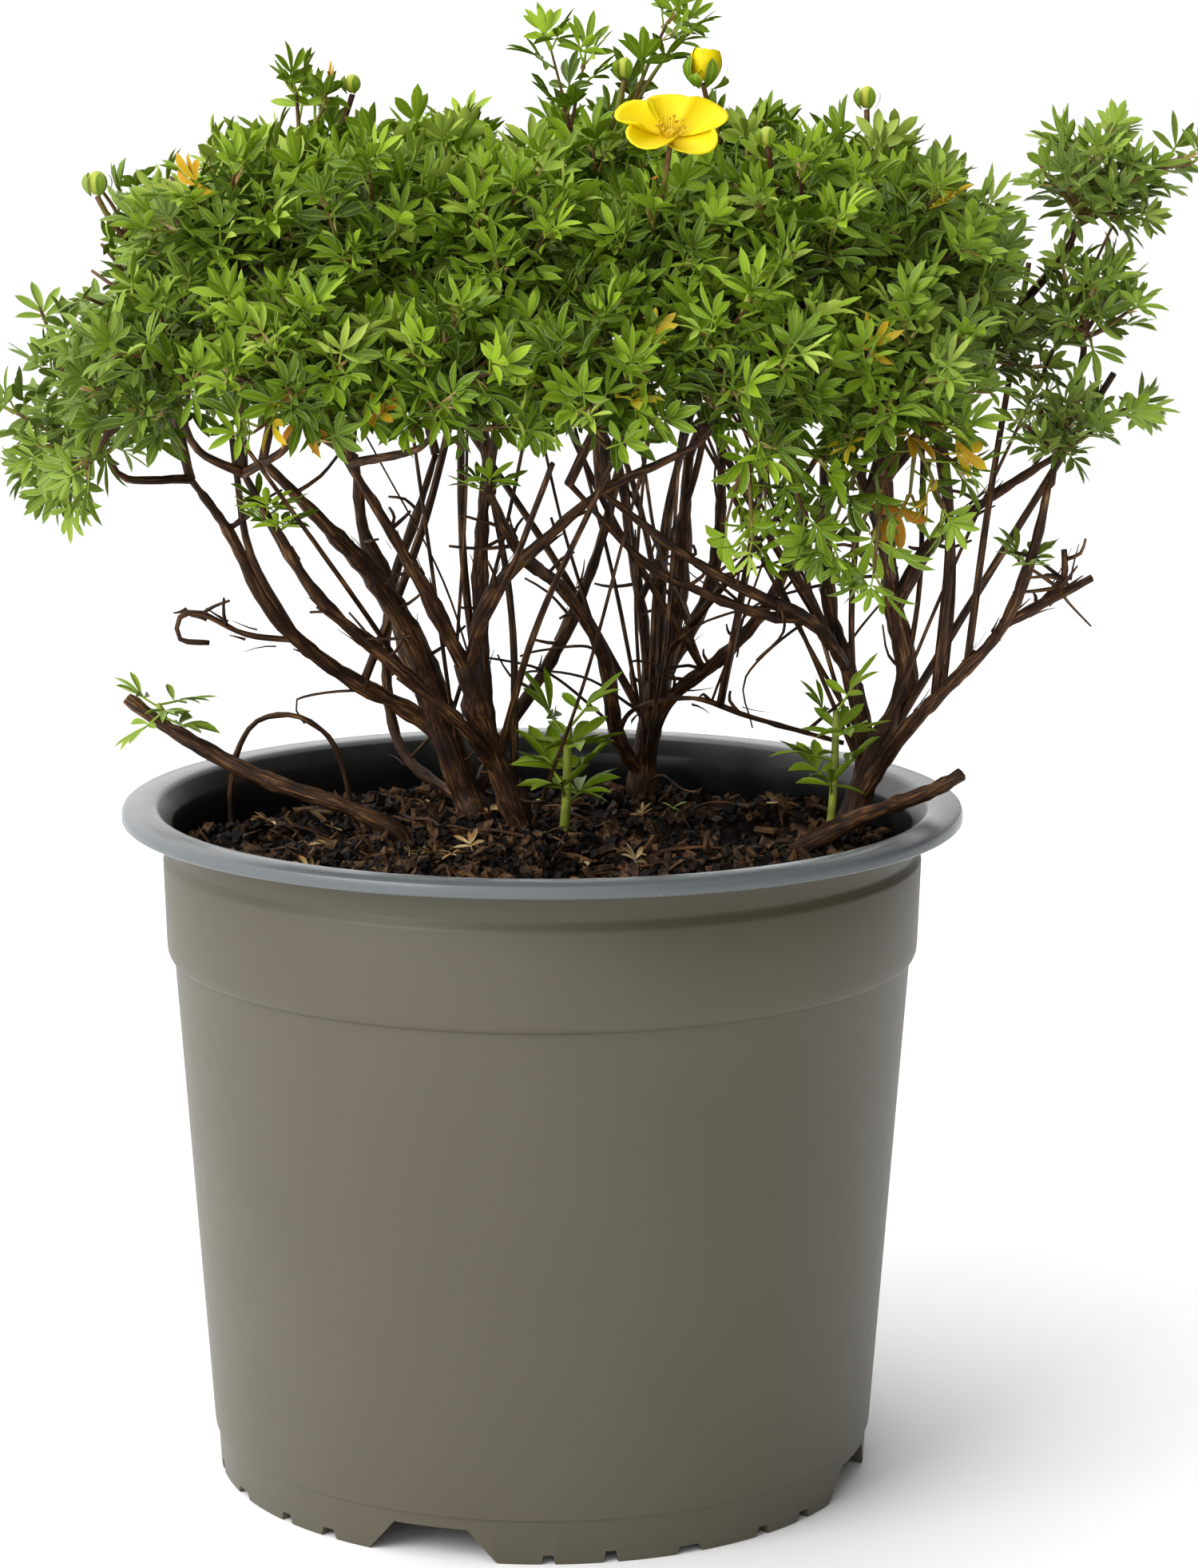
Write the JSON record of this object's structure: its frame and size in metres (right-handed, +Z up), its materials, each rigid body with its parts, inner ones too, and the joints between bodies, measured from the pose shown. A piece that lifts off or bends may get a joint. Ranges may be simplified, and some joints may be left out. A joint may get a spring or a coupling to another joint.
{
  "type": "potted shrub",
  "caption": "A low shrubby cinquefoil with dense five-part leaves on brown stems and a yellow flower, growing in a taupe plastic nursery pot.",
  "frame": {"origin": "centre of the flat central foot under the pot, on the plane that the pot stands on", "axes": "+Z up, the camera side of the shrub is -Y, +X to its right"},
  "size_m": [0.321, 0.2287, 0.3929],
  "materials": {
    "pot_plastic": "satin taupe polypropylene, thermoformed",
    "bark_compost": "moist bark and peat compost",
    "bark": "brown peeling bark",
    "leaf": null,
    "petal": null
  },
  "bodies": {
    "root": {"pot": "pot_plastic", "soil": "bark_compost", "stems_left_crown": "bark", "stems_centre_crown": "bark", "stems_right_crown": "bark", "cut_branch_left": "bark", "cut_branch_right": "bark", "arching_dead_twig": "bark", "spray_front_1": "leaf", "spray_front_2": "leaf", "spray_front_3": "leaf", "spray_front_4": "leaf", "spray_front_5": "leaf", "spray_front_6": "leaf", "spray_upper_1": "leaf", "spray_upper_2": "leaf", "spray_upper_3": "leaf", "spray_upper_4": "leaf", "spray_upper_5": "leaf", "spray_upper_6": "leaf", "spray_top_1": "leaf", "spray_top_2": "leaf", "spray_top_3": "leaf", "spray_top_4": "leaf", "spray_top_5": "leaf", "spray_top_6": "leaf", "spray_top_7": "leaf", "spray_top_8": "leaf", "spray_top_9": "leaf", "spray_top_10": "leaf", "spray_top_11": "leaf", "spray_back_1": "leaf", "spray_back_2": "leaf", "spray_back_3": "leaf", "spray_back_4": "leaf", "spray_back_5": "leaf", "spray_back_6": "leaf", "spray_back_7": "leaf", "spray_back_8": "leaf", "spray_back_9": "leaf", "spray_back_10": "leaf", "spray_back_11": "leaf", "sprout_front": "leaf", "sprout_right": "leaf", "tuft_on_cut_branch": "leaf", "flower_petals": "petal", "half_open_bud": "petal"}
  },
  "joints": []
}
